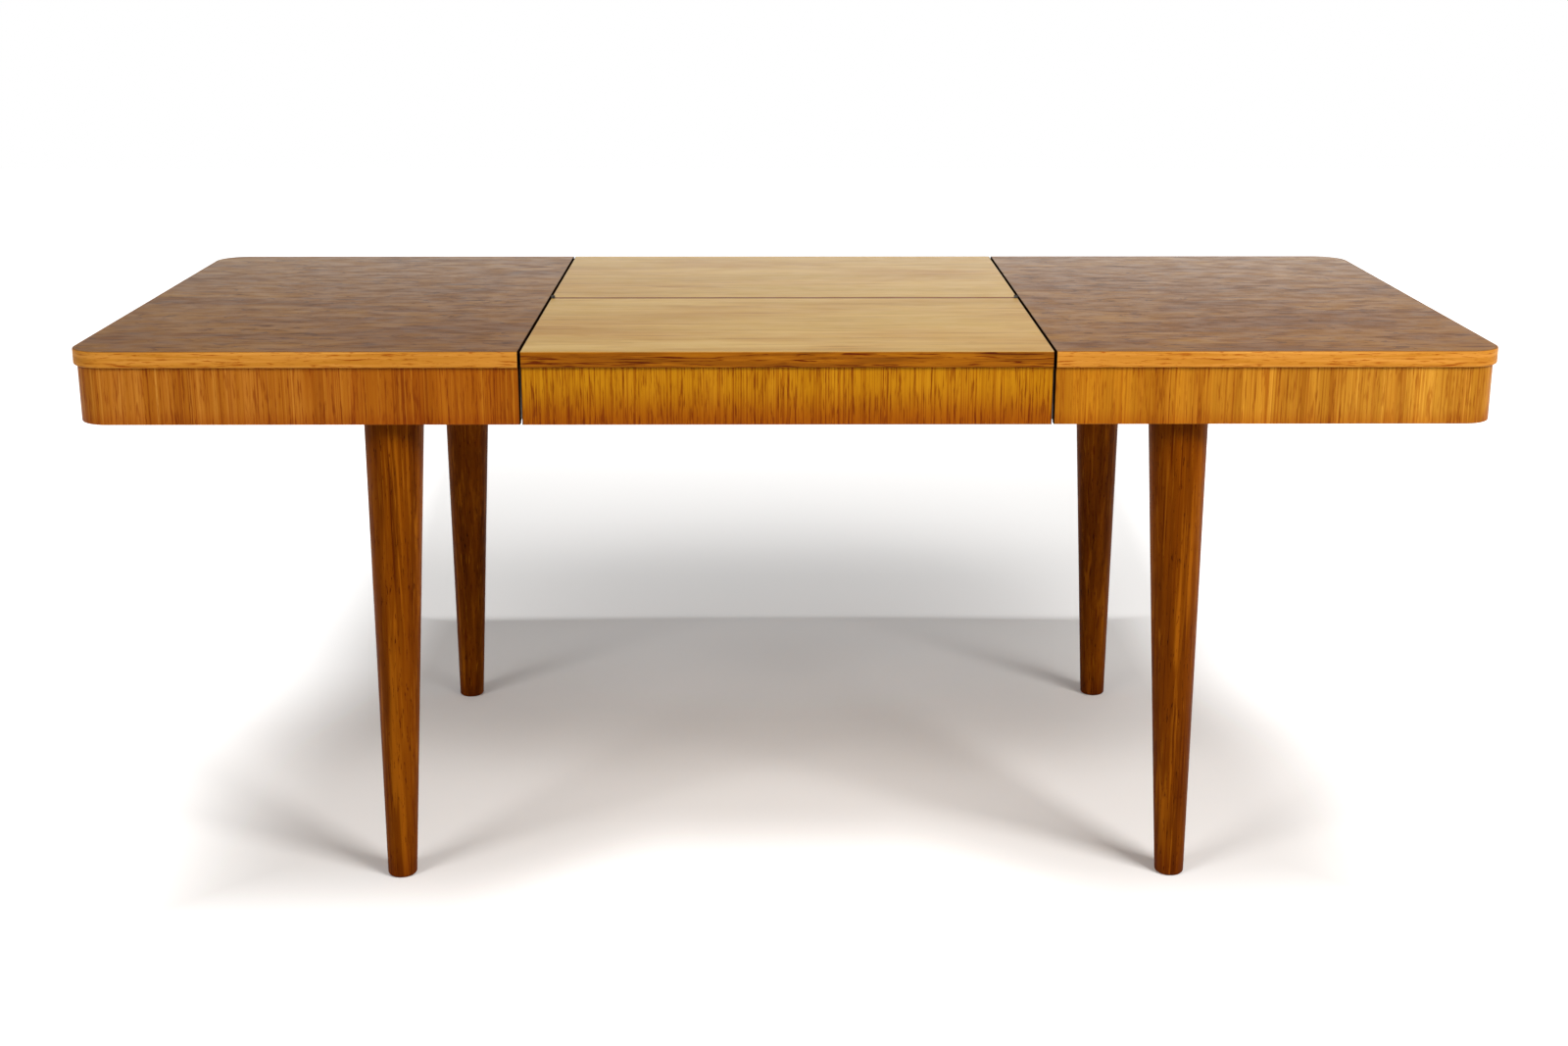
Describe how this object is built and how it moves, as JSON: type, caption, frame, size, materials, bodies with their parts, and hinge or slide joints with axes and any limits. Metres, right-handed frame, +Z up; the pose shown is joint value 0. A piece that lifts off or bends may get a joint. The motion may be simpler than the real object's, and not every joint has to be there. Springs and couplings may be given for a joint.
{
  "type": "extending table",
  "caption": "Extending dining table on round tapered splayed legs: two half tops slide apart on a fixed frame and a folding leaf with hinged aprons lies between them.",
  "frame": {"origin": "on the floor at the middle of the table", "axes": "+X along the table's length, +Y from the front to the back, +Z up"},
  "size_m": [1.914, 0.85, 0.7792],
  "materials": {
    "top_veneer": "satin oak veneer, faded",
    "leaf_veneer": "satin oak veneer, unfaded",
    "top_lipping": "satin solid wood",
    "leaf_lipping": "satin solid wood, dark",
    "apron_veneer": "satin oak veneer, grain upright",
    "leaf_apron_veneer": "satin oak veneer, dark grain upright",
    "leg_wood": "satin turned wood",
    "frame_wood": "bare beech",
    "runner_wood": "waxed beech",
    "hinge_steel": "dark steel",
    "hinge_brass": "dull brass",
    "screw_steel": "plain steel"
  },
  "bodies": {
    "frame": {"leg_front_left": "leg_wood", "leg_front_right": "leg_wood", "leg_back_left": "leg_wood", "leg_back_right": "leg_wood", "end_rail_left": "frame_wood", "end_rail_right": "frame_wood", "slide_rail_front": "frame_wood", "slide_rail_back": "frame_wood", "stow_bearer_left": "frame_wood", "stow_bearer_right": "frame_wood", "tenon_pegs": "frame_wood", "bearer_screws": "screw_steel"},
    "left_half": {"top_left": "top_veneer", "top_lipping_left": "top_lipping", "end_apron_left": "apron_veneer", "apron_corners_left": "apron_veneer", "side_apron_front_left": "apron_veneer", "side_apron_back_left": "apron_veneer", "glue_blocks_left": "frame_wood", "runner_front_left": "runner_wood", "runner_back_left": "runner_wood", "runner_screws_left": "screw_steel"},
    "right_half": {"top_right": "top_veneer", "top_lipping_right": "top_lipping", "end_apron_right": "apron_veneer", "apron_corners_right": "apron_veneer", "side_apron_front_right": "apron_veneer", "side_apron_back_right": "apron_veneer", "glue_blocks_right": "frame_wood", "runner_front_right": "runner_wood", "runner_back_right": "runner_wood", "runner_screws_right": "screw_steel"},
    "back_leaf": {"leaf_board_back": "leaf_veneer", "leaf_lipping_back": "leaf_lipping", "fold_plates_back": "hinge_steel", "fold_screws_back": "screw_steel", "board_hinge_leaves_back": "hinge_brass", "apron_hinge_pins_back": "hinge_brass", "board_hinge_screws_back": "screw_steel", "fold_pins": "hinge_steel"},
    "back_leaf_apron": {"leaf_apron_back": "leaf_apron_veneer", "apron_hinge_leaves_back": "hinge_brass", "apron_hinge_screws_back": "screw_steel"},
    "front_leaf": {"leaf_board_front": "leaf_veneer", "leaf_lipping_front": "leaf_lipping", "fold_plates_front": "hinge_steel", "fold_screws_front": "screw_steel", "board_hinge_leaves_front": "hinge_brass", "apron_hinge_pins_front": "hinge_brass", "board_hinge_screws_front": "screw_steel"},
    "front_leaf_apron": {"leaf_apron_front": "leaf_apron_veneer", "apron_hinge_leaves_front": "hinge_brass", "apron_hinge_screws_front": "screw_steel"}
  },
  "joints": [
    {"name": "left_half_slide", "type": "slide", "parent": "frame", "child": "left_half", "axis": [-1, 0, 0], "range_m": [0, 0.04]},
    {"name": "right_half_slide", "type": "slide", "parent": "frame", "child": "right_half", "axis": [1, 0, 0], "range_m": [0, 0.04]},
    {"name": "leaf_lift_out", "type": "slide", "parent": "frame", "child": "back_leaf", "axis": [0, 0, 1], "range_m": [0, 0.15]},
    {"name": "leaf_fold", "type": "hinge", "parent": "back_leaf", "child": "front_leaf", "pos_m": [0, 0, 0.7752], "axis": [-1, 0, 0], "range_deg": [0, 180]},
    {"name": "front_apron_fold", "type": "hinge", "parent": "front_leaf", "child": "front_leaf_apron", "pos_m": [0, -0.406, 0.753], "axis": [1, 0, 0], "range_deg": [0, 90]},
    {"name": "back_apron_fold", "type": "hinge", "parent": "back_leaf", "child": "back_leaf_apron", "pos_m": [0, 0.406, 0.753], "axis": [-1, 0, 0], "range_deg": [0, 90]}
  ]
}
